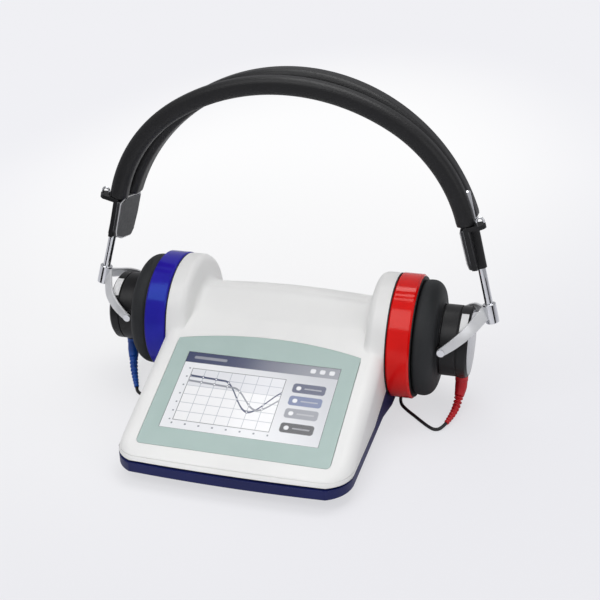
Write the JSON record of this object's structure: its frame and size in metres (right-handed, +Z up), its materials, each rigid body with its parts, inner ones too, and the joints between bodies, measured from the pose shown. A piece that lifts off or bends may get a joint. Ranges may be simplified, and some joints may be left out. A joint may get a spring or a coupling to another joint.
{
  "type": "audiometer",
  "caption": "Desktop audiometer: sloping touch screen on a navy and white base, with the padded two-band headset parked on its blue and red side docks",
  "frame": {"origin": "on the table plane, under the middle of the object's box measured without its leads", "axes": "+X to the right seen from the screen side, +Y to the back, +Z up; the docks share one axis along X at y = 0.053 m, z = 0.0515 m"},
  "size_m": [0.3018, 0.2567, 0.2342],
  "materials": {
    "navy_shell": "fine satin",
    "white_shell": "smooth satin",
    "membrane": "fine matt film",
    "screen_glass": "clear",
    "display": "lit panel",
    "steel": "brushed",
    "chrome": "mirror",
    "board": "solder mask",
    "electronics": "moulded",
    "black_plastic": "fine texture",
    "blue_dock": "satin",
    "red_dock": "satin",
    "seal_rubber": "matt",
    "foot_rubber": "matt",
    "cushion_rubber": "soft matt",
    "coupler_metal": "turned",
    "pad_black": "fine grain",
    "keeper_grey": "satin",
    "cap_silver": "satin",
    "label_white": "matt",
    "cord_black": "satin",
    "blue_rubber": "satin",
    "red_rubber": "satin"
  },
  "bodies": {
    "base_unit": {"bottom_cover": "navy_shell", "top_housing": "white_shell", "screen_overlay": "membrane", "touch_glass": "screen_glass", "display_module": "display", "display_bracket": "steel", "main_board": "board", "board_components": "electronics", "rear_panel": "navy_shell", "rear_jacks": "black_plastic", "usb_socket": "steel", "power_socket": "black_plastic", "rubber_feet": "foot_rubber", "case_screws": "steel", "dock_ring_left": "blue_dock", "dock_ring_right": "red_dock", "dock_seals": "seal_rubber", "coupler_left": "coupler_metal", "coupler_right": "coupler_metal", "reference_microphones": "steel", "lead_left": "cord_black", "lead_right": "cord_black", "lead_coil_left": "cord_black", "lead_coil_right": "cord_black", "lead_tail_left": "cord_black", "lead_tail_right": "cord_black", "coil_ties": "black_plastic", "lead_plug_left": "blue_rubber", "lead_plug_right": "red_rubber"},
    "power_rocker": {"power_rocker": "black_plastic"},
    "headband": {"front_band_sleeve": "pad_black", "front_band_strip": "steel", "rear_band_sleeve": "pad_black", "rear_band_strip": "steel", "end_bracket_left": "black_plastic", "end_bracket_right": "black_plastic", "keeper_plate_left": "keeper_grey", "keeper_plate_right": "keeper_grey", "rod_clamp_left": "black_plastic", "rod_clamp_right": "black_plastic", "clamp_hooks": "chrome"},
    "rod_left": {"yoke_rod_left": "chrome"},
    "yoke_left": {"yoke_left": "chrome", "yoke_pins_left": "chrome"},
    "earphone_left": {"earphone_shell_left": "black_plastic", "earphone_cap_left": "cap_silver", "earphone_label_left": "label_white", "driver_left": "electronics", "ear_cushion_left": "cushion_rubber", "cord_boot_left": "blue_rubber"},
    "rod_right": {"yoke_rod_right": "chrome"},
    "yoke_right": {"yoke_right": "chrome", "yoke_pins_right": "chrome"},
    "earphone_right": {"earphone_shell_right": "black_plastic", "earphone_cap_right": "cap_silver", "earphone_label_right": "label_white", "driver_right": "electronics", "ear_cushion_right": "cushion_rubber", "cord_boot_right": "red_rubber"}
  },
  "joints": [
    {"name": "power_rocker_turn", "type": "hinge", "parent": "base_unit", "child": "power_rocker", "pos_m": [0.042, 0.08835, 0.029], "axis": [1, 0, 0], "range_deg": [0, 16]},
    {"name": "headset_lift", "type": "slide", "parent": "base_unit", "child": "headband", "axis": [0, 0, 1], "range_m": [0, 0.09], "deforming": ["lead_left", "lead_right"]},
    {"name": "rod_slide_left", "type": "slide", "parent": "headband", "child": "rod_left", "axis": [0.2501, 0.1059, 0.9624], "range_m": [-0.008, 0.012], "deforming": ["ear_cushion_left", "cord_boot_left", "lead_left"]},
    {"name": "yoke_swivel_left", "type": "hinge", "parent": "rod_left", "child": "yoke_left", "pos_m": [-0.13643, 0.05684, 0.10728], "axis": [0.2501, 0.1059, 0.9624], "range_deg": [-10, 10], "deforming": ["ear_cushion_left", "cord_boot_left", "lead_left"]},
    {"name": "earphone_tilt_left", "type": "hinge", "parent": "yoke_left", "child": "earphone_left", "pos_m": [-0.1156, 0.05335, 0.056], "axis": [0, 1, 0], "range_deg": [-8, 8], "deforming": ["ear_cushion_left", "cord_boot_left", "lead_left"]},
    {"name": "rod_slide_right", "type": "slide", "parent": "headband", "child": "rod_right", "axis": [-0.2501, 0.1059, 0.9624], "range_m": [-0.008, 0.012], "deforming": ["ear_cushion_right", "cord_boot_right", "lead_right"]},
    {"name": "yoke_swivel_right", "type": "hinge", "parent": "rod_right", "child": "yoke_right", "pos_m": [0.13643, 0.05684, 0.10728], "axis": [-0.2501, 0.1059, 0.9624], "range_deg": [-10, 10], "deforming": ["ear_cushion_right", "cord_boot_right", "lead_right"]},
    {"name": "earphone_tilt_right", "type": "hinge", "parent": "yoke_right", "child": "earphone_right", "pos_m": [0.1156, 0.05335, 0.056], "axis": [0, 1, 0], "range_deg": [-8, 8], "deforming": ["ear_cushion_right", "cord_boot_right", "lead_right"]}
  ]
}
